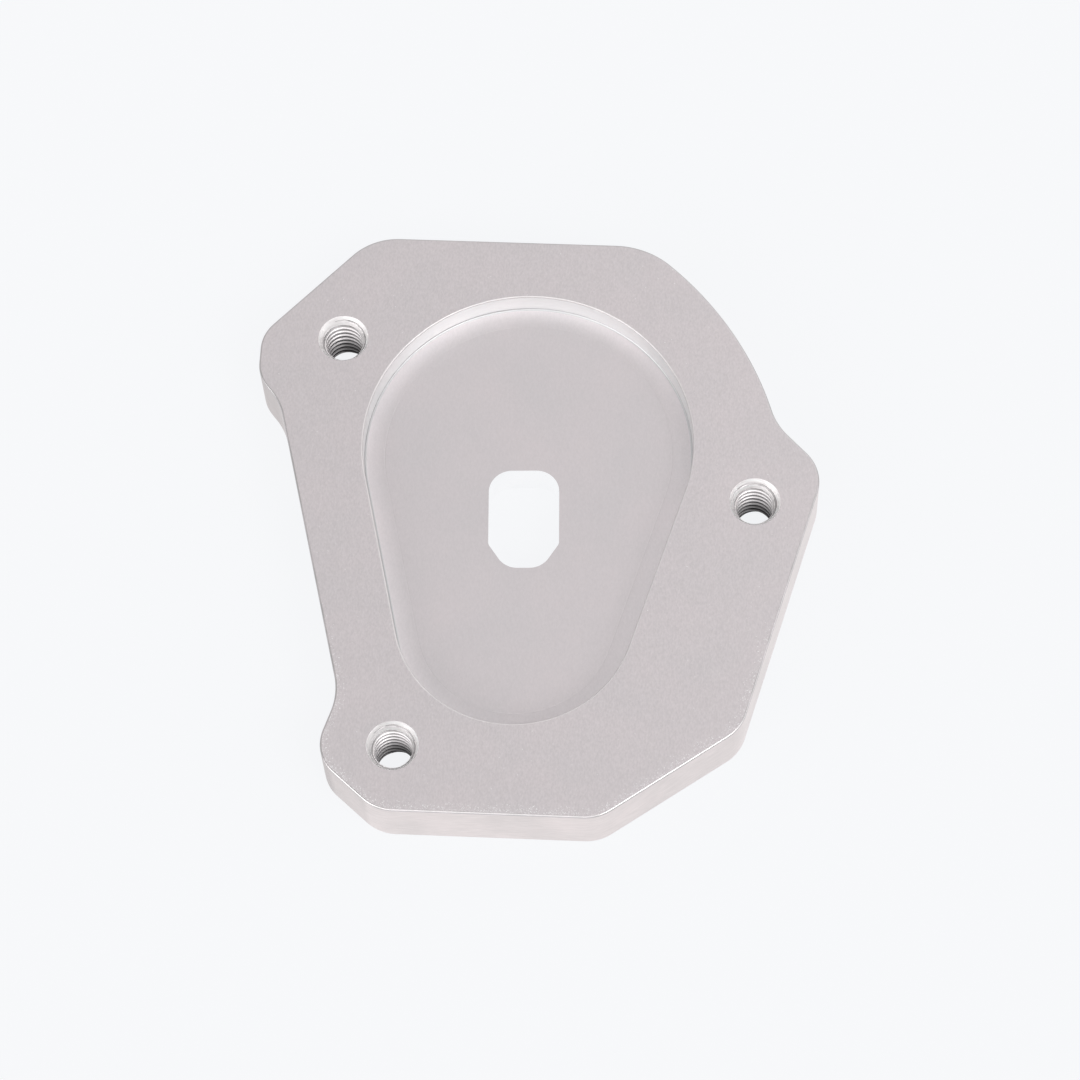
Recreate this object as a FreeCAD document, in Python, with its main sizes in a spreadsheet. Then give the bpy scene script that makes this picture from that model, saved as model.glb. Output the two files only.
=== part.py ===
import FreeCAD, Part
import Sketcher
import math
import os

os.makedirs("parts", exist_ok=True)
doc = FreeCAD.newDocument("KickstandFootEnlarger")

# Driving dimensions, in millimetres and degrees
# X runs to the right, Y to the far edge and Z up. The underside of the plate lies at Z = 0.
DIMENSIONS = [
    ("PlateThickness", 9.0, "plate from underside to top face"),
    ("PocketDepth", 3.5, "pocket from top face to floor"),
    ("HeelX", -1.0, "centre of the wide end of the pocket"),
    ("HeelY", 11.1, "centre of the wide end of the pocket"),
    ("HeelRadius", 22.0, "wide end of the pocket"),
    ("ToeX", -1.5, "centre of the narrow end of the pocket"),
    ("ToeY", -13.3, "centre of the narrow end of the pocket"),
    ("ToeRadius", 15.7, "narrow end of the pocket"),
    ("FloorRound", 0.4, "round between pocket wall and floor"),
    ("RimBreak", 0.2, "broken edge round the pocket mouth"),
    ("EdgeBreak", 0.25, "broken edge round the plate, top and bottom"),
    ("WindowX", -1.15, "centre of the drain window"),
    ("WindowY", 1.63, "centre of the drain window"),
    ("WindowWidth", 9.4, "drain window across"),
    ("WindowLength", 14.2, "drain window from end to end"),
    ("WindowBevel", 5.93, "centre of the drain window to the bevels of its near end"),
    ("WindowBevelAngle", 56.5, "bevels of the drain window from its near edge"),
    ("WindowFarRound", 3.1, "far corners of the drain window"),
    ("WindowNearRound", 3.0, "corners between near edge and bevels of the drain window"),
    ("WindowSideRound", 1.0, "corners between sides and bevels of the drain window"),
    ("WindowTurn", 2.5, "drain window turned anticlockwise"),
    ("BoreDiameter", 5.0, "tapping size of the M6 holes"),
    ("SinkDiameter", 6.8, "mouth of the countersinks"),
    ("SinkAngle", 90.0, "included angle of the countersinks"),
    ("WestHoleWall", 7.66, "pocket rim to the axis of the west hole"),
    ("WestHoleAngle", 150.06, "direction of the west hole from the wide end of the pocket"),
    ("EastHoleWall", 9.29, "pocket rim to the axis of the east hole"),
    ("EastHoleAngle", 346.32, "direction of the east hole from the wide end of the pocket"),
    ("SouthHoleWall", 8.56, "pocket rim to the axis of the south hole"),
    ("SouthHoleAngle", 232.7, "direction of the south hole from the narrow end of the pocket"),
    ("NorthWall", 8.4, "pocket to the north edge"),
    ("SouthWall", 12.5, "pocket to the south edge"),
    ("WestWall", 9.24, "pocket to the west flank"),
    ("WestFlankAngle", 75.5, "west flank from the X axis"),
    ("SouthEastWall", 14.3, "pocket to the south-east bevel"),
    ("SouthEastAngle", 36.0, "south-east bevel from the X axis"),
    ("SweepWall", 10.05, "pocket to the north-east sweep"),
    ("SweepRadius", 48.0, "north-east sweep"),
    ("SweepAngle", 33.5, "direction in which the sweep comes nearest to the pocket"),
    ("WestLobeReach", 11.1, "west hole to the end of its lobe"),
    ("WestLobeUpper", 8.4, "west hole to the upper bevel of its lobe"),
    ("WestUpperAngle", 47.5, "upper bevel of the west lobe from the X axis"),
    ("WestLobeLower", 12.36, "west hole to the lower edge of its lobe"),
    ("WestLowerAngle", 50.0, "lower edge of the west lobe from the X axis"),
    ("SouthLobeSide", 9.28, "south hole to the side of its lobe"),
    ("SouthSideAngle", 72.5, "side of the south lobe from the X axis"),
    ("SouthLobeBevel", 7.87, "south hole to the bevel of its lobe"),
    ("SouthBevelAngle", 40.5, "bevel of the south lobe from the X axis"),
    ("EastLobeFlank", 7.53, "east hole to the east flank"),
    ("EastFlankAngle", 75.0, "east flank from the X axis"),
    ("EastLobeUpper", 9.97, "east hole to the upper edge of its lobe"),
    ("EastUpperAngle", 45.0, "upper edge of the east lobe from the X axis"),
    ("NorthWestRound", 8.5, "corner between north edge and west lobe"),
    ("NorthEastRound", 11.5, "corner between sweep and north edge"),
    ("LobeRound", 5.5, "outer corners of the west and south lobes"),
    ("CornerRound", 6.0, "outer corners of the south and east edges"),
    ("WaistRound", 9.0, "hollow corners beside the lobes"),
]
ROUND_SHARE = 0.47  # of the shorter edge beside a corner that its round may use up

sizes = doc.addObject("Spreadsheet::Sheet", "Sizes")
for row, (alias, number, note) in enumerate(DIMENSIONS, start=1):
    sizes.set(f"A{row}", note)
    sizes.set(f"B{row}", str(number))
    sizes.setAlias(f"B{row}", alias)
doc.recompute()

plate = doc.addObject("PartDesign::Body", "Plate")
plate.Label = "foot_plate"


def value(expression):
    """The number that an expression of the sheet gives now."""
    return float(sizes.evalExpression(expression))


def sketchOn(name, height=None):
    """An empty sketch parallel to the underside, lifted by an expression of the sheet."""
    sketch = plate.newObject("Sketcher::SketchObject", name)
    plane = [item for item in plate.Origin.OriginFeatures if item.Role == "XY_Plane"][0]
    sketch.AttachmentSupport = [(plane, "")]
    sketch.MapMode = "FlatFace"
    if height:
        sketch.setExpression("AttachmentOffset.Base.z", height)
    return sketch


def bind(sketch, name, kind, *where, to):
    """A named dimension of the sketch, bound to an expression of the sheet."""
    number = math.radians(value(to)) if kind == "Angle" else value(to)
    index = sketch.addConstraint(Sketcher.Constraint(kind, *where, number))
    sketch.renameConstraint(index, name)
    sketch.setExpression(f"Constraints.{name}", to)


def join(sketch, kind, loop):
    """Joins the end of each piece of a closed loop to the start of the next one."""
    for first, second in zip(loop, loop[1:] + loop[:1]):
        sketch.addConstraint(Sketcher.Constraint(kind, first, 2, second, 1))


def feature(kind, name, **settings):
    made = plate.newObject(kind, name)
    for key, setting in settings.items():
        setattr(made, key, setting)
    plate.Tip = made
    return made


def dress(kind, name, test, length, expression):
    """A fillet or chamfer on the edges of the last feature that pass a test."""
    base = plate.Tip
    edges = [f"Edge{number}" for number, edge in enumerate(base.Shape.Edges, start=1) if test(edge)]
    made = feature(kind, name, Base=(base, edges))
    made.setExpression(length, expression)
    doc.recompute()


def cut(kind, name, sketch, **settings):
    """A feature that takes material away below its sketch."""
    before = plate.Shape.Volume
    made = feature(kind, name, Profile=sketch)
    doc.recompute()
    for key, setting in settings.items():
        if isinstance(setting, str) and setting.startswith("Sizes."):
            made.setExpression(key, setting)
        else:
            setattr(made, key, setting)
    doc.recompute()
    if plate.Shape.Volume >= before:
        raise RuntimeError(f"{name} takes nothing away")


# Centres that the shapes are laid out from
# Each hole keeps its wall to the pocket rim and its direction, so the holes and lobes follow the pocket.
PLACES = {end: (f"Sizes.{end}X", f"Sizes.{end}Y") for end in ("Heel", "Toe", "Window")}
for hole, end in (("WestHole", "Heel"), ("EastHole", "Heel"), ("SouthHole", "Toe")):
    away = f"(Sizes.{end}Radius + Sizes.{hole}Wall)"
    bearing = f"(Sizes.{hole}Angle * 1 deg)"
    PLACES[hole] = (f"Sizes.{end}X + {away} * cos{bearing}", f"Sizes.{end}Y + {away} * sin{bearing}")


def centreOf(name):
    x, y = PLACES[name]
    return FreeCAD.Vector(value(x), value(y), 0)


def bindCentre(sketch, name, geometry, point):
    """Ties a point of the sketch to one of the centres."""
    x, y = PLACES[name]
    bind(sketch, f"{name}AtX", "DistanceX", -1, 1, geometry, point, to=x)
    bind(sketch, f"{name}AtY", "DistanceY", -1, 1, geometry, point, to=y)


# Lobed outline
# The edges run anticlockwise. A straight one has its direction of travel and its distance from the hole or
# the pocket centre that it wraps, so each lobe follows its hole and each wall follows the pocket.
STRAIGHTS = [
    # edge, wrapped centre, distance, travel, round at its end
    ("North", "Heel", "Sizes.HeelRadius + Sizes.NorthWall", "180 deg", "NorthWestRound"),
    ("WestUpper", "WestHole", "Sizes.WestLobeUpper", "180 deg + Sizes.WestUpperAngle * 1 deg", "LobeRound"),
    ("West", "WestHole", "Sizes.WestLobeReach", "270 deg", "LobeRound"),
    ("WestLower", "WestHole", "Sizes.WestLobeLower", "360 deg - Sizes.WestLowerAngle * 1 deg", "WaistRound"),
    (
        "WestFlank",
        "Heel",
        "Sizes.HeelRadius + Sizes.WestWall",
        "360 deg - Sizes.WestFlankAngle * 1 deg",
        "WaistRound",
    ),
    ("SouthSide", "SouthHole", "Sizes.SouthLobeSide", "180 deg + Sizes.SouthSideAngle * 1 deg", "LobeRound"),
    (
        "SouthBevel",
        "SouthHole",
        "Sizes.SouthLobeBevel",
        "360 deg - Sizes.SouthBevelAngle * 1 deg",
        "CornerRound",
    ),
    ("South", "Toe", "Sizes.ToeRadius + Sizes.SouthWall", "0 deg", "CornerRound"),
    (
        "SouthEast",
        "Toe",
        "Sizes.ToeRadius + Sizes.SouthEastWall",
        "Sizes.SouthEastAngle * 1 deg",
        "CornerRound",
    ),
    ("EastFlank", "EastHole", "Sizes.EastLobeFlank", "Sizes.EastFlankAngle * 1 deg", "CornerRound"),
    ("EastUpper", "EastHole", "Sizes.EastLobeUpper", "180 deg - Sizes.EastUpperAngle * 1 deg", "WaistRound"),
]
SWEEP_SETBACK = "(Sizes.SweepRadius - Sizes.HeelRadius - Sizes.SweepWall)"
SWEEP_X = f"Sizes.HeelX - {SWEEP_SETBACK} * cos(Sizes.SweepAngle * 1 deg)"
SWEEP_Y = f"Sizes.HeelY - {SWEEP_SETBACK} * sin(Sizes.SweepAngle * 1 deg)"


def straightLine(centre, distance, travel):
    """A line as its outward normal, its direction and its distance from the origin."""
    turn = math.radians(travel)
    direction = FreeCAD.Vector(math.cos(turn), math.sin(turn), 0)
    normal = FreeCAD.Vector(math.sin(turn), -math.cos(turn), 0)
    return normal, direction, normal.dot(centre) + distance


def crossing(first, second):
    """The point where two lines meet."""
    normal, direction, offset = first
    along = (second[2] - second[0].dot(normal) * offset) / second[0].dot(direction)
    return normal * offset + direction * along


def sweepCrossing(line, centre, radius):
    """The first point where a line, followed in its direction, meets the circle of the sweep."""
    normal, direction, offset = line
    gap = offset - normal.dot(centre)
    return centre + normal * gap - direction * math.sqrt(radius**2 - gap**2)


outline = sketchOn("Outline")
marks = {}
for name in ("Heel", "Toe", "WestHole", "EastHole", "SouthHole"):
    marks[name] = outline.addGeometry(Part.Point(centreOf(name)), True)
    bindCentre(outline, name, marks[name], 1)

lines = [
    straightLine(centreOf(centre), value(distance), value(travel))
    for _, centre, distance, travel, _ in STRAIGHTS
]
sweepCentre = FreeCAD.Vector(value(SWEEP_X), value(SWEEP_Y), 0)
sweepRadius = value("Sizes.SweepRadius")
corners = [crossing(first, second) for first, second in zip(lines, lines[1:])]
corners.append(sweepCrossing(lines[-1], sweepCentre, sweepRadius))
corners.append(sweepCrossing(lines[0], sweepCentre, sweepRadius))
edges = []
for (name, centre, distance, travel, _), start, end in zip(STRAIGHTS, corners[-1:] + corners, corners):
    edge = outline.addGeometry(Part.LineSegment(start, end), False)
    edges.append(edge)
    bind(outline, f"{name}Travel", "Angle", edge, to=travel)
    bind(outline, f"{name}Distance", "Distance", marks[centre], 1, edge, to=distance)
sweepStart, sweepEnd = [
    math.atan2(corner.y - sweepCentre.y, corner.x - sweepCentre.x) for corner in corners[-2:]
]
sweepCircle = Part.Circle(sweepCentre, FreeCAD.Vector(0, 0, 1), sweepRadius)
sweep = outline.addGeometry(Part.ArcOfCircle(sweepCircle, sweepStart, sweepEnd), False)
join(outline, "Coincident", edges + [sweep])
bind(outline, "SweepAtX", "DistanceX", -1, 1, sweep, 3, to=SWEEP_X)
bind(outline, "SweepAtY", "DistanceY", -1, 1, sweep, 3, to=SWEEP_Y)
bind(outline, "SweepRound", "Radius", sweep, to="Sizes.SweepRadius")

slab = feature("PartDesign::Pad", "Slab", Profile=outline)
slab.setExpression("Length", "Sizes.PlateThickness")
doc.recompute()


# Rounded corners
# Each upright corner gets its round, held back where a short edge leaves less room.


def roundCorners(corners, arriving, leaving, lengths, rounds):
    """Rounds a loop's corners. Corner N lies between edge N and the next, and rounds holds edge and alias."""
    for number, (name, alias) in enumerate(rounds):
        corner = corners[number]
        turn = arriving[number].getAngle(leaving[number])
        shorter = min(lengths[number], lengths[(number + 1) % len(lengths)])
        room = ROUND_SHARE * shorter / math.tan(turn / 2)

        def upright(edge):
            gaps = [FreeCAD.Vector(end.X, end.Y, 0).distanceToPoint(corner) for end in edge.Vertexes]
            return max(gaps) < 0.001

        dress("PartDesign::Fillet", f"{name}EndRound", upright, "Radius", f"min(Sizes.{alias}; {room:.3f})")


def tangentAt(corner):
    """Direction of travel along the sweep at one of its ends."""
    return FreeCAD.Vector(sweepCentre.y - corner.y, corner.x - sweepCentre.x, 0).normalize()


arriving = [line[1] for line in lines] + [tangentAt(corners[-1])]
leaving = [line[1] for line in lines[1:]] + [tangentAt(corners[-2]), lines[0][1]]
lengths = [edge.Length for edge in outline.Shape.Edges]
rounds = [(name, alias) for name, *_, alias in STRAIGHTS] + [("Sweep", "NorthEastRound")]
roundCorners(corners, arriving, leaving, lengths, rounds)


def level(edge):
    return edge.BoundBox.ZLength < 1e-6


dress("PartDesign::Chamfer", "EdgeBreaks", level, "Size", "Sizes.EdgeBreak")

# Pear-shaped pocket
# Two arcs, one round the heel and one round the toe, joined by their outer tangent lines.
pear = sketchOn("Pear", "Sizes.PlateThickness")
heel = centreOf("Heel")
toe = centreOf("Toe")
heelRadius = value("Sizes.HeelRadius")
toeRadius = value("Sizes.ToeRadius")
down = (toe - heel).normalize()
across = FreeCAD.Vector(-down.y, down.x, 0)
lean = (heelRadius - toeRadius) / heel.distanceToPoint(toe)
east = down * lean + across * math.sqrt(1 - lean**2)
west = down * lean - across * math.sqrt(1 - lean**2)
eastTurn = math.atan2(east.y, east.x)
westTurn = math.atan2(west.y, west.x)
up = FreeCAD.Vector(0, 0, 1)
heelArc = pear.addGeometry(Part.ArcOfCircle(Part.Circle(heel, up, heelRadius), eastTurn, westTurn), False)
westSide = pear.addGeometry(Part.LineSegment(heel + west * heelRadius, toe + west * toeRadius), False)
toeArc = pear.addGeometry(Part.ArcOfCircle(Part.Circle(toe, up, toeRadius), westTurn, eastTurn), False)
eastSide = pear.addGeometry(Part.LineSegment(toe + east * toeRadius, heel + east * heelRadius), False)
join(pear, "Tangent", [heelArc, westSide, toeArc, eastSide])
for name, arc in (("Heel", heelArc), ("Toe", toeArc)):
    bindCentre(pear, name, arc, 3)
    bind(pear, f"{name}Round", "Radius", arc, to=f"Sizes.{name}Radius")
cut("PartDesign::Pocket", "FootPocket", pear, Type="Length", Length="Sizes.PocketDepth")

mouth = pear.Shape.BoundBox
mouth.enlarge(0.01)
floorHeight = value("Sizes.PlateThickness - Sizes.PocketDepth")


def onFloor(edge):
    return level(edge) and abs(edge.BoundBox.ZMin - floorHeight) < 1e-6


def onMouth(edge):
    return mouth.isInside(edge.BoundBox)


dress("PartDesign::Fillet", "FloorCorner", onFloor, "Radius", "Sizes.FloorRound")
dress("PartDesign::Chamfer", "MouthBreak", onMouth, "Size", "Sizes.RimBreak")

# Drain window through the floor
# Six straight edges round the window's centre, turned together. The near end is bevelled on both sides.
WINDOW_EDGES = [
    # edge, distance from the centre, travel before the turn, round at its end
    ("WindowWest", "Sizes.WindowWidth / 2", "270 deg", "WindowSideRound"),
    ("WindowNearWest", "Sizes.WindowBevel", "360 deg - Sizes.WindowBevelAngle * 1 deg", "WindowNearRound"),
    ("WindowNear", "Sizes.WindowLength / 2", "0 deg", "WindowNearRound"),
    ("WindowNearEast", "Sizes.WindowBevel", "Sizes.WindowBevelAngle * 1 deg", "WindowSideRound"),
    ("WindowEast", "Sizes.WindowWidth / 2", "90 deg", "WindowFarRound"),
    ("WindowFar", "Sizes.WindowLength / 2", "180 deg", "WindowFarRound"),
]
window = sketchOn("Window", "Sizes.PlateThickness - Sizes.PocketDepth")
middle = window.addGeometry(Part.Point(centreOf("Window")), True)
bindCentre(window, "Window", middle, 1)
travels = [f"{travel} + Sizes.WindowTurn * 1 deg" for _, _, travel, _ in WINDOW_EDGES]
lines = [
    straightLine(centreOf("Window"), value(distance), value(travel))
    for (_, distance, _, _), travel in zip(WINDOW_EDGES, travels)
]
corners = [crossing(first, second) for first, second in zip(lines, lines[1:] + lines[:1])]
edges = []
for (name, distance, _, _), travel, start, end in zip(WINDOW_EDGES, travels, corners[-1:] + corners, corners):
    edge = window.addGeometry(Part.LineSegment(start, end), False)
    edges.append(edge)
    bind(window, f"{name}Travel", "Angle", edge, to=travel)
    bind(window, f"{name}Distance", "Distance", middle, 1, edge, to=distance)
join(window, "Coincident", edges)
cut("PartDesign::Pocket", "DrainWindow", window, Type="ThroughAll")
directions = [line[1] for line in lines]
lengths = [edge.Length for edge in window.Shape.Edges]
rounds = [(name, alias) for name, *_, alias in WINDOW_EDGES]
roundCorners(corners, directions, directions[1:] + directions[:1], lengths, rounds)

# Tapped holes
# Bored to the tapping size, right through, with a countersink at the top face. The thread is M6 x 1.
drill = sketchOn("Drill", "Sizes.PlateThickness")
bores = []
for name in ("WestHole", "EastHole", "SouthHole"):
    circle = Part.Circle(centreOf(name), up, value("Sizes.BoreDiameter / 2"))
    bore = drill.addGeometry(circle, False)
    bores.append(bore)
    bindCentre(drill, name, bore, 3)
bind(drill, "Bore", "Diameter", bores[0], to="Sizes.BoreDiameter")
for bore in bores[1:]:
    drill.addConstraint(Sketcher.Constraint("Equal", bores[0], bore))
cut(
    "PartDesign::Hole",
    "TappedHoles",
    drill,
    DepthType="ThroughAll",
    HoleCutType="Countersink",
    Diameter="Sizes.BoreDiameter",
    HoleCutDiameter="Sizes.SinkDiameter",
    HoleCutCountersinkAngle="Sizes.SinkAngle",
)

# Final test and export
for item in doc.Objects:
    if {"Invalid", "Error"} & set(item.State):
        raise RuntimeError(f"{item.Name} failed: {item.State}")
for sketch in (outline, pear, window, drill):
    if sketch.solve() != 0 or sketch.FullyConstrained is False:
        raise RuntimeError(f"{sketch.Name} isn't fully constrained")
shape = plate.Shape
if shape.isNull() or not shape.isValid() or len(shape.Solids) != 1:
    raise RuntimeError("the plate isn't one valid solid")
shape.exportStep(f"parts/{plate.Label}.step")
box = shape.BoundBox
print(f"{plate.Label}: {box.XLength:.2f} x {box.YLength:.2f} x {box.ZLength:.2f} mm, {shape.Volume:.0f} mm3")
print(f"  x {box.XMin:.3f} to {box.XMax:.3f}, y {box.YMin:.3f} to {box.YMax:.3f}")
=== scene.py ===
import math

import bpy
import numpy as np
from mathutils import Matrix, Vector
from mathutils.geometry import delaunay_2d_cdt


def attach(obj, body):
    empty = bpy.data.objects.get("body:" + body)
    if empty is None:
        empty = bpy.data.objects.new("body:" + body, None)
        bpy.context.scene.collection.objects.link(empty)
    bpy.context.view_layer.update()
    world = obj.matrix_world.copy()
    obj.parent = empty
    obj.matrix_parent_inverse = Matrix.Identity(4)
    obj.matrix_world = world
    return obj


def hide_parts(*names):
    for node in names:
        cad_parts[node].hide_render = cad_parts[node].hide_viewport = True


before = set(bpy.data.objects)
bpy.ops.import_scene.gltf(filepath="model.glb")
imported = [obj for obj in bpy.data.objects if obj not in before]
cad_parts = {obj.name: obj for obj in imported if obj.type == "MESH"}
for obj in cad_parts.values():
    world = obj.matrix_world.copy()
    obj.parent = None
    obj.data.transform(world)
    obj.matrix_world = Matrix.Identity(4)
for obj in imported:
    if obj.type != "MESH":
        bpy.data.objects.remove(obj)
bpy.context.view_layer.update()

print("frame loaded:", sorted(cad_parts))

# Sizes are in millimetres and degrees, in the frame's own axes: x to the east, y to the north, z up.
# They become metres when a mesh, a pattern or the camera is made.
mm = 0.001

# Finishes: satin faces with a fine grain and painted glints, milled walls with cutter lines, broken edges and
# tapped threads; several carry painted shade

satin = {
    "color": (0.650, 0.606, 0.618),
    "roughness": 0.45,
    "cells": (4400.0, 2300.0, 2300.0),  # grains to the metre along each axis
    "lineDepth": 0.30,  # how much the grain changes the tone
    "cloudDepth": 0.03,  # how much broad soft patches change the red alone, so that it is pinker in places
    "glints": (0.001, 0.35),  # share of fine cells with a painted glint: everywhere, and close to the south edges
    "patch": 0.05,  # how much broad soft patches change the tone
    "scuff": 0.0,  # how far worn stretches go back to the face's own satin
    "paintedShade": 0.0,  # how much darker painted shade makes a surface where it gets no painted light
    "grazing": 1.0,  # how much a very flat view reflects
    "bump": 0.002,  # height of the grain
}
plain = satin | {"glints": (0, 0), "lineDepth": 0.06}

looks = {
    "satinFace": satin | {"grazing": 0.4},
    "pocketFloor": plain | {
        "color": (0.728, 0.685, 0.699),
        "roughness": 0.58,
        "lineDepth": 0.14,
        # painted shade everywhere but beside the wall's foot, where painted light stands for the wall's
        # reflection
        "paintedShade": 0.153,
        "grazing": 0.4,
    },
    "milledWall": plain | {
        "color": (0.815, 0.755, 0.745),
        "cells": (500.0, 500.0, 4500.0),
        "lineDepth": 0.25,
        "patch": 0.2,
        # painted shade on the walls that face west
        "paintedShade": 0.25,
    },
    "pocketWall": plain | {
        "color": (0.835, 0.85, 0.845),
        "cells": (700.0, 700.0, 5000.0),
        "lineDepth": 0.10,
    },
    # the foot carries painted shade where it faces east
    "wallFoot": plain | {"color": (0.60, 0.595, 0.605), "roughness": 0.48, "paintedShade": 0.12},
    "windowWall": plain | {"color": (0.99, 0.99, 0.99), "roughness": 0.06, "lineDepth": 0.01},
    "brokenEdge": plain | {
        "color": (0.57, 0.55, 0.55),
        "roughness": 0.28,
        "lineDepth": 0.1,
        "scuff": 0.6,
    },
    "brokenRim": plain | {
        "color": (0.88, 0.85, 0.85),
        "roughness": 0.5,
        "lineDepth": 0.1,
        "scuff": 0.2,
        # painted shade on the rim where it faces south
        "paintedShade": 0.3,
    },
    # the thread carries painted shade in its roots and at the hole's lower end
    "threadWall": plain | {"color": (0.76, 0.73, 0.735), "roughness": 0.48, "paintedShade": 0.97},
    "sinkWall": plain | {
        "color": (0.99, 0.965, 0.966),
        "roughness": 0.55,
        "cells": (300.0, 300.0, 3500.0),
        "lineDepth": 0.5,
    },
}
finishes = list(looks)

grain = {
    # scale to the metre, detail and roughness of each noise; the lines' scale is in a look's cells
    "lines": (1.0, 2.0, 0.6),
    "clouds": (130.0, 2.0, 0.5),
    "scuffs": (420.0, 2.0, 0.7),
    "scuffContrast": 5.0,
    "scuffMiddle": 0.4,  # how worn the average place is
    "glintScale": 9000.0,
    "glintStrength": 0.6,
    "southFrom": -12.0,  # y where the edge's own painted glints begin
    "southFull": -30.0,  # y where they reach their full share
    "edgePower": 1.5,  # how closely they keep to the edge
}


def mathNode(nodes, links, operation, *inputs, clamp=False):
    node = nodes.new("ShaderNodeMath")
    node.operation = operation
    node.use_clamp = clamp
    for socket, source in zip(node.inputs, inputs):
        if isinstance(source, (int, float)):
            socket.default_value = source
        else:
            links.new(source, socket)
    return node.outputs[0]


def vectorNode(nodes, links, operation, vector, other):
    # SCALE takes a number beside the vector, MULTIPLY a second vector
    node = nodes.new("ShaderNodeVectorMath")
    node.operation = operation
    links.new(vector, node.inputs[0])
    links.new(other, node.inputs["Scale" if operation == "SCALE" else 1])
    return node.outputs[0]


def mixNode(nodes, links, factor, first, second):
    # from the first colour, a socket, to the second, a fixed one; 6, 7 and 2 are the node's colour sockets
    mix = nodes.new("ShaderNodeMix")
    mix.data_type = "RGBA"
    links.new(factor, mix.inputs["Factor"])
    links.new(first, mix.inputs[6])
    mix.inputs[7].default_value = (*second, 1)
    return mix.outputs[2]


def noiseNode(nodes, links, place, scale, detail, roughness):
    # noise centred on 0
    noise = nodes.new("ShaderNodeTexNoise")
    noise.inputs["Scale"].default_value = scale
    noise.inputs["Detail"].default_value = detail
    noise.inputs["Roughness"].default_value = roughness
    links.new(place, noise.inputs["Vector"])
    return mathNode(nodes, links, "SUBTRACT", noise.outputs["Fac"], 0.5)


def metalGrainGroup():
    # Lines: noise stretched by Cells, the grains to the metre along each axis. Clouds: broad soft patches.
    # Both are centred on 0. Glints: painted glints, the few cells of a fine grid whose random number is
    # under Share, each with its own strength. Scuffs: short worn stretches, from 0 to 1.
    group = bpy.data.node_groups.new("metalGrain", "ShaderNodeTree")
    group.interface.new_socket(name="Position", in_out="INPUT", socket_type="NodeSocketVector")
    group.interface.new_socket(name="Cells", in_out="INPUT", socket_type="NodeSocketVector")
    group.interface.new_socket(name="Share", in_out="INPUT", socket_type="NodeSocketFloat")
    for name in ("Lines", "Clouds", "Glints", "Scuffs"):
        group.interface.new_socket(name=name, in_out="OUTPUT", socket_type="NodeSocketFloat")
    nodes, links = group.nodes, group.links
    entry = nodes.new("NodeGroupInput")
    leave = nodes.new("NodeGroupOutput")
    position = entry.outputs["Position"]
    stretched = vectorNode(nodes, links, "MULTIPLY", position, entry.outputs["Cells"])
    links.new(noiseNode(nodes, links, stretched, *grain["lines"]), leave.inputs["Lines"])
    links.new(noiseNode(nodes, links, position, *grain["clouds"]), leave.inputs["Clouds"])
    worn = noiseNode(nodes, links, position, *grain["scuffs"])
    spread = (grain["scuffContrast"], grain["scuffMiddle"])
    links.new(mathNode(nodes, links, "MULTIPLY_ADD", worn, *spread, clamp=True), leave.inputs["Scuffs"])
    cell = nodes.new("ShaderNodeTexVoronoi")
    cell.inputs["Scale"].default_value = grain["glintScale"]
    links.new(position, cell.inputs["Vector"])
    drawn = nodes.new("ShaderNodeSeparateColor")
    links.new(cell.outputs["Color"], drawn.inputs[0])
    chosen = mathNode(nodes, links, "LESS_THAN", drawn.outputs[0], entry.outputs["Share"])
    strength = mathNode(nodes, links, "MULTIPLY", chosen, drawn.outputs[1])
    links.new(mathNode(nodes, links, "MULTIPLY", strength, grain["glintStrength"]), leave.inputs["Glints"])
    return group


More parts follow.
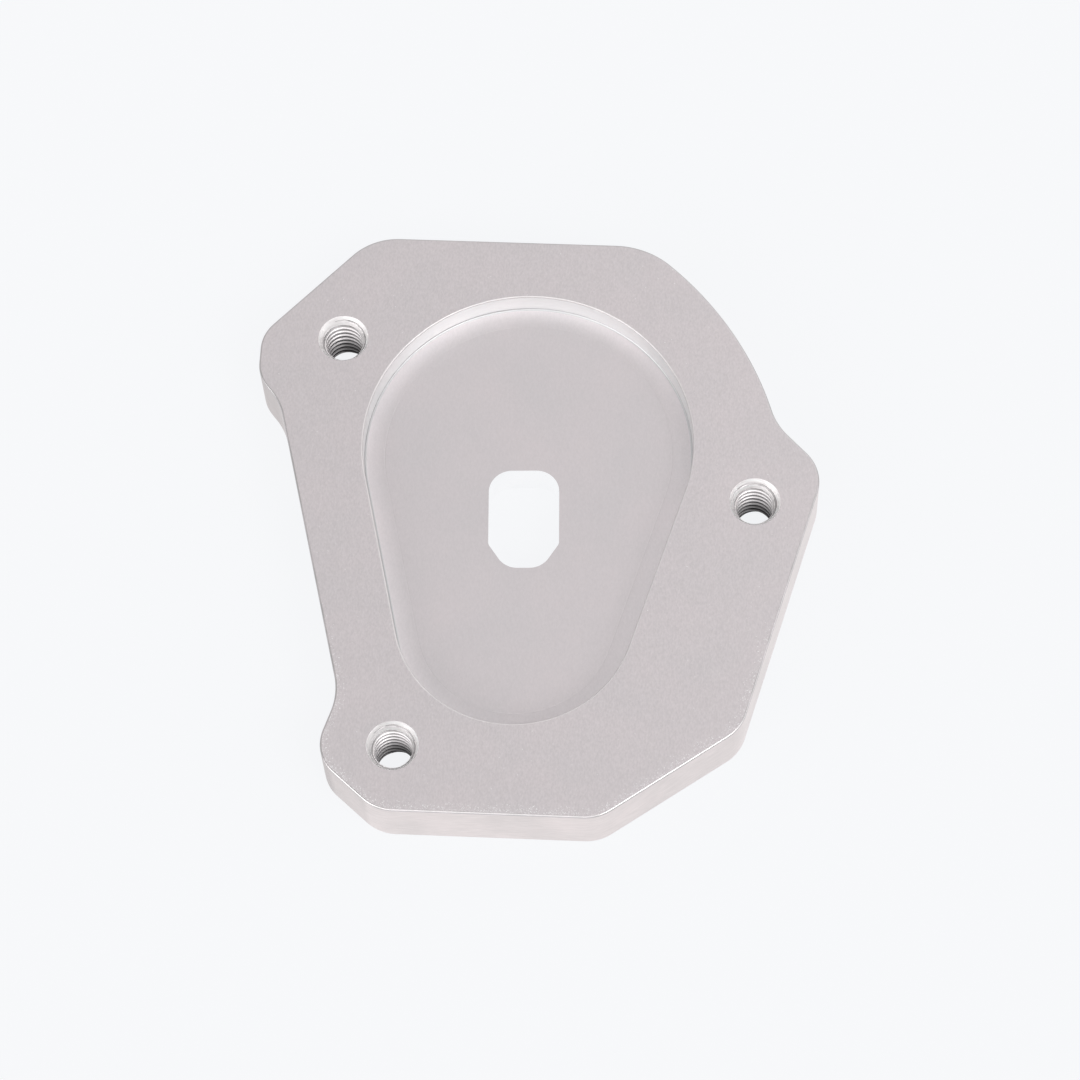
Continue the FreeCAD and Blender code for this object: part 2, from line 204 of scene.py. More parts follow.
def metalMaterial(name, look, grainGroup):
    # the look's colour, changed by grain, patches, worn stretches, painted shade and painted glints, in turn
    material = bpy.data.materials.new(name)
    material.use_nodes = True
    nodes, links = material.node_tree.nodes, material.node_tree.links
    shader = nodes["Principled BSDF"]
    shader.inputs["Metallic"].default_value = 1.0
    shader.inputs["Roughness"].default_value = look["roughness"]
    shader.inputs["Specular Tint"].default_value = (*[look["grazing"]] * 3, 1)
    place = nodes.new("ShaderNodeTexCoord").outputs["Object"]
    pattern = nodes.new("ShaderNodeGroup")
    pattern.node_tree = grainGroup
    pattern.inputs["Cells"].default_value = look["cells"]
    links.new(place, pattern.inputs["Position"])
    marks = pattern.outputs
    tone = mathNode(nodes, links, "MULTIPLY_ADD", marks["Lines"], look["lineDepth"], 1.0)
    tone = mathNode(nodes, links, "MULTIPLY_ADD", marks["Clouds"], look["patch"], tone)
    red, green, blue = look["color"]
    pinker = mathNode(nodes, links, "MULTIPLY_ADD", marks["Clouds"], look["cloudDepth"], 1.0)
    tint = nodes.new("ShaderNodeCombineColor")
    links.new(mathNode(nodes, links, "MULTIPLY", pinker, red), tint.inputs[0])
    tint.inputs[1].default_value = green
    tint.inputs[2].default_value = blue
    toned = vectorNode(nodes, links, "SCALE", tint.outputs[0], tone)
    if look["scuff"]:
        worn = mathNode(nodes, links, "MULTIPLY", marks["Scuffs"], look["scuff"])
        toned = mixNode(nodes, links, worn, toned, satin["color"])
        duller = satin["roughness"] - look["roughness"]
        dull = mathNode(nodes, links, "MULTIPLY_ADD", worn, duller, look["roughness"])
        links.new(dull, shader.inputs["Roughness"])
    calm, busy = look["glints"]
    if look["paintedShade"] or busy:
        attribute = nodes.new("ShaderNodeAttribute")
        attribute.attribute_name = "paintedLight"
        paintedLight = attribute.outputs["Fac"]
    # painted shade: the colour is darker where the attribute gives less painted light
    if look["paintedShade"]:
        shade = mathNode(nodes, links, "MULTIPLY_ADD", paintedLight, look["paintedShade"], 1 - look["paintedShade"])
        toned = vectorNode(nodes, links, "SCALE", toned, shade)
    # painted glints: white specks mixed into the colour, gathering near the south edges
    if busy:
        split = nodes.new("ShaderNodeSeparateXYZ")
        links.new(place, split.inputs[0])
        south = nodes.new("ShaderNodeMapRange")
        south.inputs["From Min"].default_value = grain["southFrom"] * mm
        south.inputs["From Max"].default_value = grain["southFull"] * mm
        links.new(split.outputs["Y"], south.inputs["Value"])
        near = mathNode(nodes, links, "POWER", paintedLight, grain["edgePower"])
        near = mathNode(nodes, links, "MULTIPLY", near, south.outputs[0])
        share = mathNode(nodes, links, "MULTIPLY_ADD", near, busy - calm, calm)
        links.new(share, pattern.inputs["Share"])
        toned = mixNode(nodes, links, marks["Glints"], toned, (1, 1, 1))
    links.new(toned, shader.inputs["Base Color"])
    bump = nodes.new("ShaderNodeBump")
    bump.inputs["Strength"].default_value = 1.0
    bump.inputs["Distance"].default_value = look["bump"] * mm
    links.new(marks["Lines"], bump.inputs["Height"])
    links.new(bump.outputs[0], shader.inputs["Normal"])
    return material


grainGroup = metalGrainGroup()
materials = [metalMaterial(name, looks[name], grainGroup) for name in finishes]
print("finishes:", ", ".join(finishes))

# Loops: a closed path is a row of arcs, each (centre, radius, start angle, turn), joined by straight runs

plate = {
    "thickness": 9.0,
    "pocketDepth": 3.5,
    "edgeBreak": 0.25,  # broken edge round the plate
    "edgeStrip": 1.8,  # the part of the top face beside that edge, where painted glints gather
    "rimBreak": 0.2,  # broken edge round the pocket mouth
    "floorRound": 0.25,  # round between pocket wall and floor
    "breakSteps": 4,  # faces across each of those broken edges and rounds
    "arcStep": 0.45,  # longest step along a round of a loop
    "arcTurn": 4.0,  # widest step along it, in degrees
}

pocket = {
    "heel": (-1.0, 11.1),
    "heelRadius": 22.0,
    "toe": (-1.5, -13.3),
    "toeRadius": 15.7,
}

holes = {
    # the end of the pocket that a hole stands off, how far from the pocket's wall and at which bearing, and
    # the bearing at which its thread starts
    "west": {"from": "heel", "wall": 7.66, "angle": 150.06, "startTurn": 162.0},
    "east": {"from": "heel", "wall": 9.29, "angle": 346.32, "startTurn": 220.0},
    "south": {"from": "toe", "wall": 8.56, "angle": 232.7, "startTurn": 191.0},
}

outline = {
    # centre that the edge goes round, distance from it, travel, round at the edge's end
    "edges": [
        ("heel", pocket["heelRadius"] + 8.4, 180.0, 8.5),
        ("west", 8.4, 227.5, 5.5),
        ("west", 11.1, 270.0, 5.5),
        ("west", 12.36, 310.0, 9.0),
        ("heel", pocket["heelRadius"] + 9.24, 284.5, 9.0),
        ("south", 9.28, 252.5, 5.5),
        ("south", 7.87, 319.5, 6.0),
        ("toe", pocket["toeRadius"] + 12.5, 0.0, 6.0),
        ("toe", pocket["toeRadius"] + 14.3, 36.0, 6.0),
        ("east", 7.53, 75.0, 6.0),
        ("east", 9.97, 135.0, 9.0),
    ],
    "sweepRadius": 48.0,
    "sweepWall": 10.05,  # from the pocket's wall to the sweep, where they are closest
    "sweepAngle": 33.5,  # bearing of that place
    "sweepRound": 11.5,  # between the sweep and the north edge
}

window = {
    "centre": (-1.15, 1.63),
    "turn": 2.5,
    # distance from the centre, travel, round at its end
    "edges": [
        (4.7, 270.0, 1.0),
        (5.93, 303.5, 3.0),
        (7.1, 0.0, 3.0),
        (5.93, 56.5, 1.0),
        (4.7, 90.0, 3.1),
        (7.1, 180.0, 3.1),
    ],
}


def unitAt(angle):
    # cosine and sine of an angle from the east, for one angle or an array of them
    return np.stack([np.cos(angle), np.sin(angle)], axis=-1)


def leftOf(direction):
    return np.array([-direction[1], direction[0]])


def angleOf(vector):
    return math.atan2(vector[1], vector[0])


def crossOf(a, b):
    return a[0] * b[1] - a[1] * b[0]


def wrapped(angle):
    # the same angle between minus and plus half a turn
    return (angle + math.pi) % (2 * math.pi) - math.pi


def edgeLine(centre, distance, travel):
    # a line as a point on it and its direction; it passes the centre at the distance and keeps it on its left
    direction = unitAt(math.radians(travel))
    return centre - distance * leftOf(direction), direction


def meeting(first, second):
    # the point where two lines cross
    along = crossOf(second[0] - first[0], second[1]) / crossOf(first[1], second[1])
    return first[0] + along * first[1]


def cornerArc(corner, arriving, leaving, radius):
    # the arc tangent to both directions: its centre lies on the inner side of the turn
    turn = math.atan2(crossOf(arriving, leaving), float(arriving @ leaving))
    side = math.copysign(1, turn)
    start = corner - arriving * radius * math.tan(abs(turn) / 2)
    centre = start + side * radius * leftOf(arriving)
    return centre, radius, angleOf(start - centre), turn


def polygonArcs(edges):
    # the corner arcs of a closed polygon, one at the end of each edge
    lines = [edgeLine(centre, distance, travel) for centre, distance, travel, _ in edges]
    return [
        cornerArc(meeting(line, after), line[1], after[1], radius)
        for line, after, (*_, radius) in zip(lines, lines[1:] + lines[:1], edges)
    ]


def loopPath(arcs):
    # points and outward normals all along the loop: centre + radius times the unit circle on each arc
    points = []
    normals = []
    for centre, radius, start, turn in arcs:
        byLength = abs(turn) * radius / plate["arcStep"]
        byTurn = abs(math.degrees(turn)) / plate["arcTurn"]
        unit = unitAt(start + turn * np.linspace(0, 1, math.ceil(max(byLength, byTurn)) + 1))
        points.append(centre + radius * unit)
        normals.append(unit * math.copysign(1, turn))
    return np.concatenate(points), np.concatenate(normals)


def centreBeside(line, aside, circleCentre, distance):
    # the first point, along a line shifted to its right, that lies at the distance from the circle's centre
    base = line[0] - aside * leftOf(line[1])
    along = float((circleCentre - base) @ line[1])
    gap = crossOf(circleCentre - base, line[1])
    return base + line[1] * (along - math.sqrt(distance**2 - gap**2))


def outlineArcs():
    # eleven straight edges, and a large arc that meets the last and the first of them through rounds
    edges = [(centres[name], *rest) for name, *rest in outline["edges"]]
    north, eastUpper = [edgeLine(*edge[:3]) for edge in (edges[0], edges[-1])]
    sweepRadius = outline["sweepRadius"]
    setback = sweepRadius - pocket["heelRadius"] - outline["sweepWall"]
    sweepCentre = centres["heel"] - setback * unitAt(math.radians(outline["sweepAngle"]))
    hollowRadius = edges[-1][3]
    shoulderRadius = outline["sweepRound"]
    hollow = centreBeside(eastUpper, hollowRadius, sweepCentre, sweepRadius + hollowRadius)
    shoulder = centreBeside(north, -shoulderRadius, sweepCentre, sweepRadius - shoulderRadius)
    hollowStart = angleOf(leftOf(eastUpper[1]))
    sweepStart = angleOf(hollow - sweepCentre)
    shoulderStart = angleOf(shoulder - sweepCentre)
    return polygonArcs(edges)[:-1] + [
        (hollow, hollowRadius, hollowStart, wrapped(angleOf(sweepCentre - hollow) - hollowStart)),
        (sweepCentre, sweepRadius, sweepStart, wrapped(shoulderStart - sweepStart)),
        (shoulder, shoulderRadius, shoulderStart, wrapped(math.pi / 2 - shoulderStart)),
    ]


def pearArcs():
    # the two ends of the pocket, joined by their outer tangent lines
    between = centres["toe"] - centres["heel"]
    lean = math.acos((pocket["heelRadius"] - pocket["toeRadius"]) / math.hypot(*between))
    east = angleOf(between) + lean
    west = angleOf(between) - lean
    full = 2 * math.pi
    return [
        (centres["heel"], pocket["heelRadius"], east, (west - east) % full),
        (centres["toe"], pocket["toeRadius"], west, (east - west) % full),
    ]


def windowArcs():
    # a polygon about the window's centre, all its edges turned alike
    centre = np.array(window["centre"])
    edges = [(centre, away, travel + window["turn"], radius) for away, travel, radius in window["edges"]]
    return polygonArcs(edges)


def shifted(path, offset):
    # the loop's points, moved outwards along their normals
    return path[0] + offset * path[1]


centres = {end: np.array(pocket[end]) for end in ("heel", "toe")}
for name, hole in holes.items():
    away = pocket[hole["from"] + "Radius"] + hole["wall"]
    centres[name] = centres[hole["from"]] + away * unitAt(math.radians(hole["angle"]))

outlinePath = loopPath(outlineArcs())
pearPath = loopPath(pearArcs())
windowPath = loopPath(windowArcs())
print("points on the loops:", *[len(path[0]) for path in (outlinePath, pearPath, windowPath)])

# Patches: points, faces by index with a finish, and for every face corner a normal and its share of painted
# light

closeness = {
    "step": 1e-6,  # shorter steps of a loop are left out of a flat face
    "triangles": 1e-7,  # nearer points and edges touch in the triangulation
    "weld": 1e-4,  # size of the cells in which all corners share a point
    "weldShift": 0.37,  # part of a cell by which they are shifted, so that no round size lies between two
    "none": 1e-9,  # a smaller length or difference is none
}


def rising(value, start, end):
    # from 0 at the start to 1 at the end, straight between them and held beyond
    return np.clip((value - start) / (end - start), 0, 1)


def turnedOut(points, faces, normals):
    # faces whose winding goes against their normals are reversed
    corners = points[faces]
    facing = np.cross(corners[:, 1] - corners[:, 0], corners[:, 2] - corners[:, 0])
    if faces.shape[1] == 4:
        facing += np.cross(corners[:, 2] - corners[:, 0], corners[:, 3] - corners[:, 0])
    back = np.einsum("ij,ij->i", facing, normals.sum(axis=1)) < 0
    faces[back] = faces[back][:, ::-1]
    normals[back] = normals[back][:, ::-1]
    return faces, normals


def patch(points, faces, normals, finish):
    faces, normals = turnedOut(points, faces, normals)
    return {
        "points": points,
        "faces": faces,
        "normals": normals,
        "finish": np.full(len(faces), finishes.index(finish)),
        "paintedLight": np.zeros(faces.shape),
    }


def gridFaces(rows, columns):
    # quads of a grid of rows by columns
    first = np.arange(rows - 1)[:, None] * columns + np.arange(columns - 1)
    return np.stack([first, first + columns, first + columns + 1, first + 1], axis=-1).reshape(-1, 4)


def withUpright(flat, upright):
    # plane vectors of a grid made spatial: the third part of each is its column's upright value
    return np.concatenate([flat, np.broadcast_to(upright[None, :, None], (*flat.shape[:2], 1))], axis=2)


def band(path, profile, finish):
    # a profile carried round a loop: each row of it has an offset along the loop's normal, a height,
    # and the outward and upward shares of its own normal
    offset, height, outward, upward = np.array(profile).T
    points, normals = (np.concatenate([part, part[:1]]) for part in path)
    grid = withUpright(points[:, None] + normals[:, None] * offset[None, :, None], height)
    facing = withUpright(normals[:, None] * outward[None, :, None], upward)
    facing /= np.linalg.norm(facing, axis=2, keepdims=True)
    faces = gridFaces(len(points), len(offset))
    return patch(grid.reshape(-1, 3), faces, facing.reshape(-1, 3)[faces], finish)


def quarter(offset, height, radius, start, steps):
    # rows of a quarter circle about (offset, height), from a start angle in degrees; the normal points
    # away from the circle's centre for a positive radius and towards it for a negative one
    angles = np.radians(start + 90 * np.linspace(0, 1, steps + 1))
    across = np.cos(angles)
    along = np.sin(angles)
    reach = abs(radius)
    side = math.copysign(1, radius)
    return np.stack([offset + reach * across, height + reach * along, side * across, side * along], axis=1)


def insideLoops(points, loops):
    # even-odd rule over all the loops together, so that inner loops are holes
    crossings = np.zeros(len(points), int)
    for loop in loops:
        ends = np.roll(loop, -1, axis=0)
        x, y = points[:, :1], points[:, 1:]
        spans = (loop[None, :, 1] > y) != (ends[None, :, 1] > y)
        rise = ends[:, 1] - loop[:, 1]
        slope = (ends[:, 0] - loop[:, 0]) / np.where(rise == 0, 1, rise)
        crossings += (spans & (x < loop[None, :, 0] + slope * (y - loop[None, :, 1]))).sum(axis=1)
    return crossings % 2 == 1


def flatFace(loops, height, facing, finish):
    # a flat face between loops at one height: constrained triangles, kept where they lie inside
    steps = [np.abs(loop - np.roll(loop, 1, axis=0)) for loop in loops]
    loops = [loop[np.any(step > closeness["step"], axis=1)] for loop, step in zip(loops, steps)]
    points = np.concatenate(loops)
    edges = []
    for loop in loops:
        row = np.arange(len(loop)) + sum(len(earlier) for earlier in edges)
        edges.append(np.stack([row, np.roll(row, -1)], axis=1))
    edges = np.concatenate(edges).tolist()
    _, _, faces, sources, _, _ = delaunay_2d_cdt(points.tolist(), edges, [], 0, closeness["triangles"])
    faces = np.array([source[0] for source in sources])[np.array(faces)]
    faces = faces[insideLoops(points[faces].mean(axis=1), loops)]
    spatial = np.concatenate([points, np.full((len(points), 1), height)], axis=1)
    normals = np.broadcast_to([0.0, 0.0, facing], (len(faces), 3, 3)).copy()
    return patch(spatial, faces, normals, finish)


# Tapped holes: a true helix, cut off at the underside and opened by the countersink at the top

thread = {
    "pitch": 1.0,
    "crestRadius": 2.5,
    "rootRadius": 3.08,
    "crestFlat": 0.24,  # along the axis
    "flankAngle": 30.0,  # flank from the plane square to the axis
    "mouthRadius": 3.4,
    "sinkAngle": 30.0,  # countersink from the axis
    "turnSteps": 96,
    "crestSteps": 2,
    "flankSteps": 8,
    "rootSteps": 2,
    "crease": 20.0,  # faces that meet at a wider angle along the helix don't share a normal
}

# painted shade in the tapped holes: in the roots and at the hole's lower end
holeShade = {
    "root": (0.18, 0.30),  # shares of the flank, from the crest, where the root's shade starts and is full
    "rootAtTop": 0.45,  # how strong that shade is at the top face
    "rootDepth": 5.0,  # depth at which it is full
    "low": (5.2, 1.2),  # heights where the shade of the hole's lower end starts and is full
    "lowStrength": 0.86,
    "bearing": 55.0,  # of the side where the lower end is darkest; the other side has no such shade
}


def threadRow():
    # where one pitch changes: positions along the axis and the radius there
    crest, root = thread["crestRadius"], thread["rootRadius"]
    flank = (root - crest) * math.tan(math.radians(thread["flankAngle"]))
    lengths = [thread["crestFlat"], flank, thread["pitch"] - thread["crestFlat"] - 2 * flank, flank]
    return np.cumsum([0] + lengths), [crest, crest, root, root, crest]


def threadRadius(height, around):
    # the larger of the thread's radius and the countersink's; around is the turn since the thread's start
    positions, radii = threadRow()
    along = (height - thread["pitch"] * around / (2 * math.pi)) % thread["pitch"]
    sink = thread["mouthRadius"] - (plate["thickness"] - height) * math.tan(math.radians(thread["sinkAngle"]))
    return np.maximum(np.interp(along, positions, radii), sink), sink


def aroundHole(name, turns, radius):
    # the hole's centre + radius times the unit circle, turned to where the thread starts
    start = math.radians(holes[name]["startTurn"])
    return centres[name] + unitAt(turns + start) * np.asarray(radius)[..., None]


def holeLoop(name, height):
    # the loop where a hole meets one of the flat faces
    turns = np.linspace(0, 2 * math.pi, thread["turnSteps"] + 1)[:-1]
    return aroundHole(name, turns, threadRadius(height, turns)[0])


def paintedLightInHole(name, turns, height, radius, onSink):
    # painted light: 1 on the crests, the flanks beside them and the countersink. Painted shade darkens the
    # roots, the more the deeper they lie in the hole, and the lower wall, above all on the side at the
    # shade's bearing
    flankShare = (radius - thread["crestRadius"]) / (thread["rootRadius"] - thread["crestRadius"])
    rootShade = np.where(onSink, 0, rising(flankShare, *holeShade["root"]))
    depth = rising(plate["thickness"] - height, 0, holeShade["rootDepth"])
    rootShade *= holeShade["rootAtTop"] + (1 - holeShade["rootAtTop"]) * depth
    low = rising(height, *holeShade["low"])
    shaded = np.cos(turns + math.radians(holes[name]["startTurn"] - holeShade["bearing"]))
    low = holeShade["lowStrength"] * low**2 * (3 - 2 * low) * (0.5 + 0.5 * shaded)
    return (1 - rootShade) * (1 - low)


def tappedHole(name):
    # grid of turn by position: each position runs along the helix, so height = position + pitch * share of
    # a whole turn, held between the two faces. What lies wholly beyond them closes up and is dropped.
    pitch = thread["pitch"]
    step = 2 * math.pi / thread["turnSteps"]
    turns = step * np.arange(-1, thread["turnSteps"] + 2)[:, None]
    ends, _ = threadRow()
    steps = [thread["crestSteps"], thread["flankSteps"], thread["rootSteps"], thread["flankSteps"]]
    onePitch = [np.linspace(a, b, n, endpoint=False) for a, b, n in zip(ends, ends[1:], steps)]
    pitches = np.arange(-1, math.ceil(plate["thickness"] / pitch) + 1)
    positions = (pitches[:, None] * pitch + np.concatenate(onePitch)).ravel()
    height = np.clip(positions + pitch * turns / (2 * math.pi), 0, plate["thickness"])
    turns = np.broadcast_to(turns, height.shape)
    radius, sink = threadRadius(height, turns)
    flat = aroundHole(name, turns, radius)
    grid = np.concatenate([flat, height[..., None]], axis=2)
    # a face's normal is the cross product of its diagonals, turned towards the axis
    facing = np.cross(grid[1:, 1:] - grid[:-1, :-1], grid[:-1, 1:] - grid[1:, :-1])
    inward = centres[name] - flat[:-1, :-1]
    facing *= np.sign(np.einsum("ijk,ijk->ij", facing[..., :2], inward))[..., None]
    facing /= np.maximum(np.linalg.norm(facing, axis=2, keepdims=True), closeness["none"])
    # along the helix the corners share a normal, unless the two faces meet at a crease
    together = facing[1:] + facing[:-1]
    crease = math.cos(math.radians(thread["crease"]))
    smooth = (np.einsum("ijk,ijk->ij", facing[1:], facing[:-1]) > crease)[..., None]
    before = np.where(smooth, together, facing[1:])[:-1]
    after = np.where(smooth, together, facing[:-1])[1:]
    corners = np.stack([before, after, after, before], axis=2).reshape(-1, 4, 3)
    corners /= np.maximum(np.linalg.norm(corners, axis=2, keepdims=True), closeness["none"])
    kept = grid[1:-1]
    faces = gridFaces(*kept.shape[:2])
    made = patch(kept.reshape(-1, 3), faces, corners, "threadWall")
    onSink = radius <= sink + closeness["none"]
    # painted shade in the thread's roots and low in the hole
    paintedLight = paintedLightInHole(name, turns, height, radius, onSink)
    made["finish"][onSink[1:-1].reshape(-1)[faces].all(axis=1)] = finishes.index("sinkWall")
    made["paintedLight"] = paintedLight[1:-1].reshape(-1)[faces]
    return made


# The plate: bands round outline, pocket and window, flat faces between them and three tapped holes

mark = {
    "inset": 2.75,  # cutter's pass mark on the pocket floor, from the wall
    "halfWidth": 0.09,
    "depth": 0.012,
}

facingShade = {
    # how far a normal points east or north where a band gets none of its painted light, and where it gets all
    # of it
    "wallEast": (-0.8, -0.55),  # painted shade: the outer walls are darker where they face west
    "rimNorth": (-0.5, 0.5),  # painted shade on the pocket's rim where it faces south
    "footEast": (0.625, -0.625),  # painted shade on the foot of the pocket's wall where it faces east
}


def facingBand(path, profile, finish, axis, ends):
    # a band whose painted light goes by how far it faces along an axis, 0 for x and 1 for y
    made = band(path, profile, finish)
    made["paintedLight"] = rising(made["normals"][..., axis], *ends)
    return made


def fadingStrip(path, outer, inner, height, finish):
    # a flat band between two offsets of a loop, with full painted light at the outer one and none at the
    # inner one
    made = band(path, [(inner, height, 0, 1), (outer, height, 0, 1)], finish)
    made["paintedLight"] = (made["faces"] % 2).astype(float)  # every second point lies at the outer offset
    return made


def outerBands():
    # from the underside up: rounded lower edge, wall, rounded upper edge
    top = plate["thickness"]
    edge = plate["edgeBreak"]
    steps = plate["breakSteps"]
    # the wall bands carry painted shade where they face west
    wall = ("milledWall", 0, facingShade["wallEast"])
    return [
        facingBand(outlinePath, quarter(-edge, edge, edge, 270, steps), *wall),
        facingBand(outlinePath, [(0, edge, 1, 0), (0, top - edge, 1, 0)], *wall),
        band(outlinePath, quarter(-edge, top - edge, edge, 0, steps), "brokenEdge"),
    ]


def pocketBands():
    # from the mouth down: rounded rim, wall, rounded foot, the floor with the cutter's mark, and the window
    top = plate["thickness"]
    floor = top - plate["pocketDepth"]
    rim = plate["rimBreak"]
    foot = plate["floorRound"]
    steps = plate["breakSteps"]
    near = -mark["inset"] + mark["halfWidth"]
    far = -mark["inset"] - mark["halfWidth"]
    slope = mark["depth"] / mark["halfWidth"]
    bottom = floor - mark["depth"]
    rimRows = quarter(rim, top - rim, rim, 90, steps)
    footRows = quarter(-foot, floor + foot, -foot, 270, steps)
    return [
        # the rim: painted shade where it faces south
        facingBand(pearPath, rimRows, "brokenRim", 1, facingShade["rimNorth"]),
        band(pearPath, [(0, floor + foot, -1, 0), (0, top - rim, -1, 0)], "pocketWall"),
        # the foot: painted shade where it faces east
        facingBand(pearPath, footRows, "wallFoot", 0, facingShade["footEast"]),
        # painted light on the floor beside the wall's foot, a painted reflection of the wall, fading out
        # towards the cutter's mark
        fadingStrip(pearPath, -foot, near, floor, "pocketFloor"),
        band(pearPath, [(near, floor, -slope, 1), (-mark["inset"], bottom, -slope, 1)], "pocketFloor"),
        band(pearPath, [(-mark["inset"], bottom, slope, 1), (far, floor, slope, 1)], "pocketFloor"),
        flatFace([shifted(pearPath, far), windowPath[0]], floor, 1, "pocketFloor"),
        band(windowPath, [(0, 0, -1, 0), (0, floor, -1, 0)], "windowWall"),
    ]


def flatFaces():
    # the top face in two parts, a strip along the edge and the rest, and the underside
    top = plate["thickness"]
    edge = shifted(outlinePath, -plate["edgeBreak"])
    inner = shifted(outlinePath, -plate["edgeStrip"])
    mouth = shifted(pearPath, plate["rimBreak"])
    upper = [inner, mouth] + [holeLoop(name, top) for name in holes]
    lower = [edge, windowPath[0]] + [holeLoop(name, 0.0) for name in holes]
    return [
        # the edge strip holds the painted light that gathers painted glints at the edge
        fadingStrip(outlinePath, -plate["edgeBreak"], -plate["edgeStrip"], top, "satinFace"),
        flatFace(upper, top, 1, "satinFace"),
        flatFace(lower, 0.0, -1, "satinFace"),
    ]


def joined(patches):
    # patches become one mesh: corners at the same place share a point, quads that close up turn into
    # triangles or go, and every face keeps the normals of its corners
    points = np.concatenate([part["points"] for part in patches])
    starts = np.cumsum([0] + [len(part["points"]) for part in patches])
    cells = np.round(points / closeness["weld"] + closeness["weldShift"]).astype(np.int64)
    _, first, index = np.unique(cells, axis=0, return_index=True, return_inverse=True)
    quads = []
    triangles = []
    for start, part in zip(starts, patches):
        faces = index.reshape(-1)[part["faces"] + start]
        distinct = faces != np.roll(faces, -1, axis=1)
        count = distinct.sum(axis=1)
        for corners, group in ((4, quads), (3, triangles)):
            rows = count == corners
            group.append(
                (
                    faces[rows][distinct[rows]].reshape(-1, corners),
                    part["normals"][rows][distinct[rows]].reshape(-1, corners, 3),
                    part["paintedLight"][rows][distinct[rows]].reshape(-1, corners),
                    part["finish"][rows],
                )
            )
    groups = [tuple(np.concatenate(column) for column in zip(*group)) for group in (quads, triangles)]
    return points[first], groups


def makePlate(patches):
    points, groups = joined(patches)
    faces, normals, paintedLight, finish = zip(*groups)
    mesh = bpy.data.meshes.new("foot_plate_machined")
    mesh.from_pydata((points * mm).tolist(), [], [face for rows in faces for face in rows.tolist()])
    mesh.polygons.foreach_set("material_index", np.concatenate(finish).astype(np.int32))
    mesh.polygons.foreach_set("use_smooth", np.ones(len(mesh.polygons), bool))
    for material in materials:
        mesh.materials.append(material)
    mesh.normals_split_custom_set(np.concatenate([rows.reshape(-1, 3) for rows in normals]))
    shares = mesh.attributes.new("paintedLight", "FLOAT", "CORNER")
    shares.data.foreach_set("value", np.concatenate([rows.reshape(-1) for rows in paintedLight]))
    mesh.update()
    piece = bpy.data.objects.new("foot_plate_machined", mesh)
    bpy.context.scene.collection.objects.link(piece)
    print(f"plate: {len(points)} points, {len(mesh.polygons)} faces")
    return piece


body = makePlate(outerBands() + pocketBands() + flatFaces() + [tappedHole(name) for name in holes])
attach(body, "root")
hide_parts("foot_plate")

# Stage: a plain pale floor, which shows the camera and the gloss its own colour and keeps a soft shadow

stage = {
    "color": (0.93, 0.939, 0.956),
    "paper": (0.70, 0.705, 0.715),  # what real light falls on: darker, so that both together give the color
    "shadowShare": 0.06,  # how much of the light that the camera sees on the floor is real light
    "halfWidth": 1500.0,
}


def makeFloor():
    half = stage["halfWidth"] * mm
    mesh = bpy.data.meshes.new("studio_floor")
    corners = [(-half, -half, 0), (half, -half, 0), (half, half, 0), (-half, half, 0)]
    mesh.from_pydata(corners, [], [(0, 1, 2, 3)])
    floor = bpy.data.objects.new("studio_floor", mesh)
    bpy.context.scene.collection.objects.link(floor)
    material = bpy.data.materials.new("palePaper")
    material.use_nodes = True
    nodes, links = material.node_tree.nodes, material.node_tree.links
    nodes.clear()
    paper = nodes.new("ShaderNodeBsdfDiffuse")
    paper.inputs["Color"].default_value = (*stage["paper"], 1)
    shown = nodes.new("ShaderNodeEmission")
    shown.inputs["Color"].default_value = (*stage["color"], 1)
    ray = nodes.new("ShaderNodeLightPath")
    seen = mathNode(nodes, links, "MAXIMUM", ray.outputs["Is Camera Ray"], ray.outputs["Is Glossy Ray"])
    seen = mathNode(nodes, links, "MAXIMUM", seen, ray.outputs["Is Transmission Ray"])
    share = mathNode(nodes, links, "MULTIPLY", seen, 1 - stage["shadowShare"])
    mix = nodes.new("ShaderNodeMixShader")
    links.new(share, mix.inputs["Fac"])
    links.new(paper.outputs[0], mix.inputs[1])
    links.new(shown.outputs[0], mix.inputs[2])
    output = nodes.new("ShaderNodeOutputMaterial")
    links.new(mix.outputs[0], output.inputs["Surface"])
    mesh.materials.append(material)
    print("floor: pale paper")


makeFloor()

# Light: an even white surround and eight soft lamps, the strong ones in the south-west and south-east

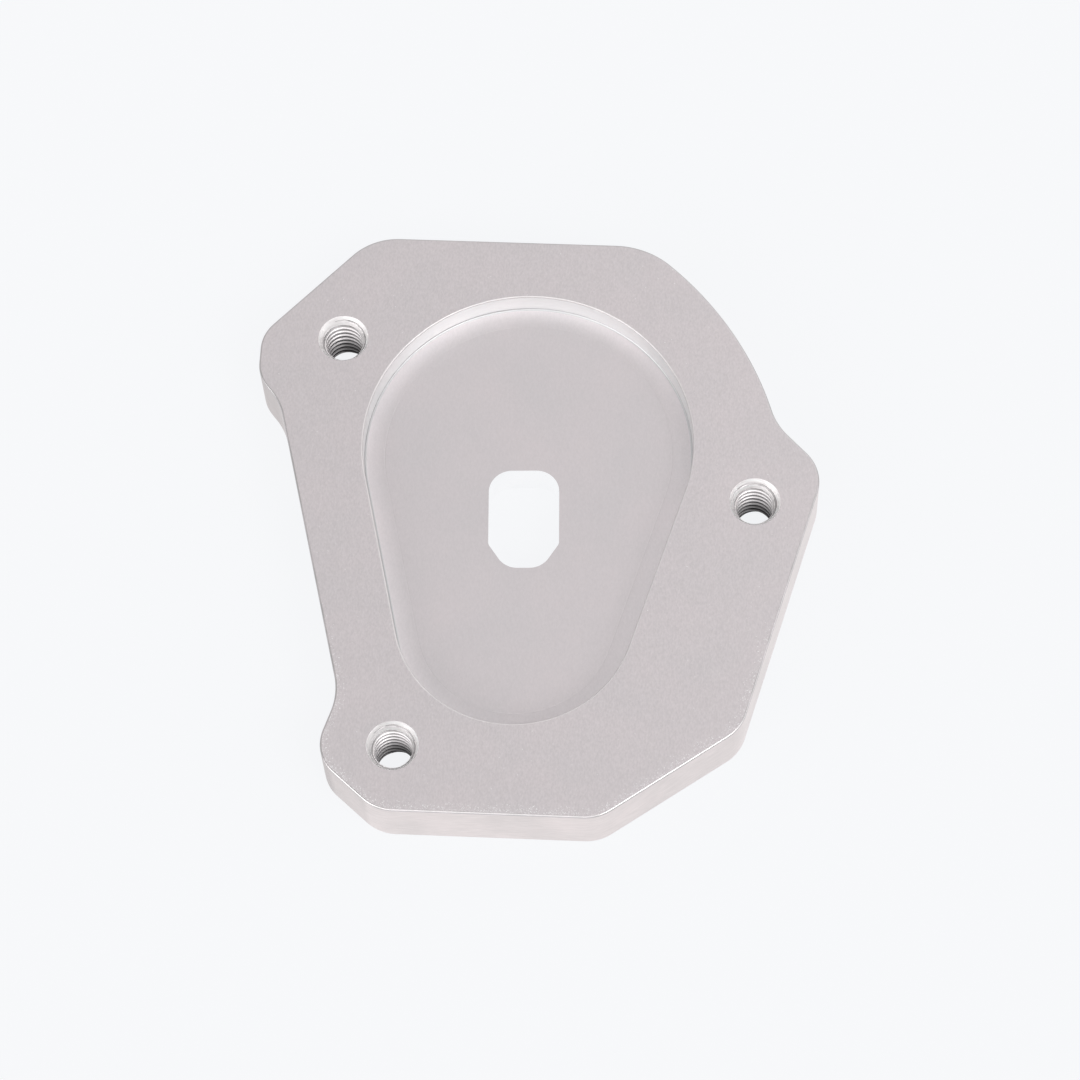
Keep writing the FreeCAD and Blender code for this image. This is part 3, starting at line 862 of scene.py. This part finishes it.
lamps = {
    "world": 0.62,
    # bearing from east, height above the floor, width, strength
    "softboxes": {
        "southwestLow": (212.0, 17.0, 40.0, 0.9),
        "southwest": (238.0, 42.0, 45.0, 0.88),
        "south": (270.0, 15.0, 30.0, 0.2),
        "southeast": (319.0, 46.0, 32.0, 1.1),
        "eastLow": (352.0, 18.0, 45.0, 0.5),
        "overhead": (318.0, 70.0, 40.0, 0.3),
        "north": (90.0, 40.0, 60.0, 0.15),
        "northeast": (60.0, 45.0, 32.0, 0.2),
    },
}


def makeLamps():
    world = bpy.data.worlds.new("studio")
    bpy.context.scene.world = world
    world.use_nodes = True
    surround = world.node_tree.nodes["Background"]
    surround.inputs["Color"].default_value = (1, 1, 1, 1)
    surround.inputs["Strength"].default_value = lamps["world"]
    for name, (bearing, height, width, strength) in lamps["softboxes"].items():
        data = bpy.data.lights.new(name, "SUN")
        data.energy = strength
        data.angle = math.radians(width)
        lamp = bpy.data.objects.new(name, data)
        lamp.rotation_euler = (math.radians(90 - height), 0, math.radians(bearing + 90))
        bpy.context.scene.collection.objects.link(lamp)
    print("lamps:", ", ".join(lamps["softboxes"]))


makeLamps()

# Camera: it stands south of the plate, a little to the east, and looks down on it

shot = {
    "azimuth": 6.241,  # round the plate, from straight south
    "elevation": 65.607,
    "roll": 3.696,
    "distance": 503.4,
    "aim": (1.333, -2.933, 9.0),
    "lens": 127.55,
    "nearest": 10.0,  # nothing closer is seen
}


def makeCamera():
    turn = math.radians(shot["azimuth"])
    lift = math.radians(shot["elevation"])
    roll = math.radians(shot["roll"])
    back = Vector((math.sin(turn) * math.cos(lift), -math.cos(turn) * math.cos(lift), math.sin(lift)))
    level = Vector((math.cos(turn), math.sin(turn), 0))
    upright = back.cross(level)
    right = level * math.cos(roll) - upright * math.sin(roll)
    up = level * math.sin(roll) + upright * math.cos(roll)
    data = bpy.data.cameras.new("camera")
    data.lens = shot["lens"]
    data.clip_start = shot["nearest"] * mm
    camera = bpy.data.objects.new("camera", data)
    bpy.context.scene.collection.objects.link(camera)
    place = (Vector(shot["aim"]) + back * shot["distance"]) * mm
    camera.matrix_world = Matrix.Translation(place) @ Matrix((right, up, back)).transposed().to_4x4()
    bpy.context.scene.camera = camera
    print("camera: azimuth", shot["azimuth"], "elevation", shot["elevation"])


makeCamera()
bpy.context.scene.view_settings.view_transform = "Standard"
